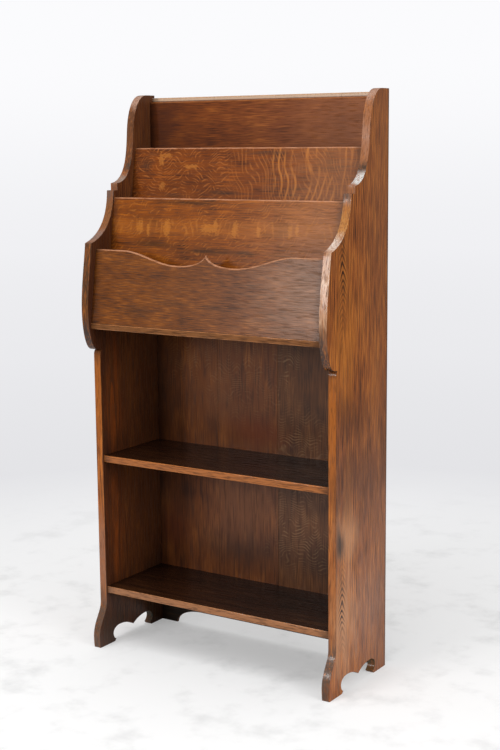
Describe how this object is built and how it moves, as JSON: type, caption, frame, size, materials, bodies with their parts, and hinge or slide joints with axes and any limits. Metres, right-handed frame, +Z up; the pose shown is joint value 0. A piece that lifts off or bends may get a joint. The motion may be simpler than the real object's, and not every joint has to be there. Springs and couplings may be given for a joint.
{
  "type": "book display stand",
  "caption": "Tall narrow oak stand: a leaning rack of stepped book pockets between shaped side boards, above open shelves, on cut-out feet.",
  "frame": {"origin": "on the floor, under the middle of the stand's bounding box", "axes": "+Z up, front towards -Y, +X to the right of someone who faces the front"},
  "size_m": [0.607, 0.2524, 1.22],
  "materials": {
    "oak_outside": "dark stained oak, worn semi-gloss polish",
    "oak_rack": "dark stained oak, worn semi-gloss polish",
    "oak_shelf": "dark stained oak, worn semi-gloss polish",
    "oak_back": "dark stained oak, satin",
    "pine_block": "bare pine, matt",
    "cut_steel": "dull dark steel"
  },
  "bodies": {
    "root": {"left_side_board": "oak_outside", "right_side_board": "oak_outside", "front_panel": "oak_rack", "front_divider": "oak_rack", "rear_divider": "oak_rack", "rack_back_panel": "oak_rack", "bottom_shelf": "oak_shelf", "middle_shelf": "oak_shelf", "rack_base": "oak_shelf", "back_board_1": "oak_back", "back_board_2": "oak_back", "back_board_3": "oak_back", "back_board_4": "oak_back", "rear_plinth": "oak_back", "plinth_block_1": "pine_block", "plinth_block_2": "pine_block", "plinth_block_3": "pine_block", "back_nail_01": "cut_steel", "back_nail_02": "cut_steel", "back_nail_03": "cut_steel", "back_nail_04": "cut_steel", "back_nail_05": "cut_steel", "back_nail_06": "cut_steel", "back_nail_07": "cut_steel", "back_nail_08": "cut_steel", "back_nail_09": "cut_steel", "back_nail_10": "cut_steel", "back_nail_11": "cut_steel", "back_nail_12": "cut_steel", "back_nail_13": "cut_steel", "back_nail_14": "cut_steel", "back_nail_15": "cut_steel", "back_nail_16": "cut_steel", "back_nail_17": "cut_steel", "back_nail_18": "cut_steel", "back_nail_19": "cut_steel", "back_nail_20": "cut_steel", "back_nail_21": "cut_steel", "back_nail_22": "cut_steel", "back_nail_23": "cut_steel", "back_nail_24": "cut_steel", "back_nail_25": "cut_steel", "back_nail_26": "cut_steel", "back_nail_27": "cut_steel", "back_nail_28": "cut_steel", "back_nail_29": "cut_steel", "back_nail_30": "cut_steel", "back_nail_31": "cut_steel", "back_nail_32": "cut_steel", "back_nail_33": "cut_steel", "back_nail_34": "cut_steel"}
  },
  "joints": []
}
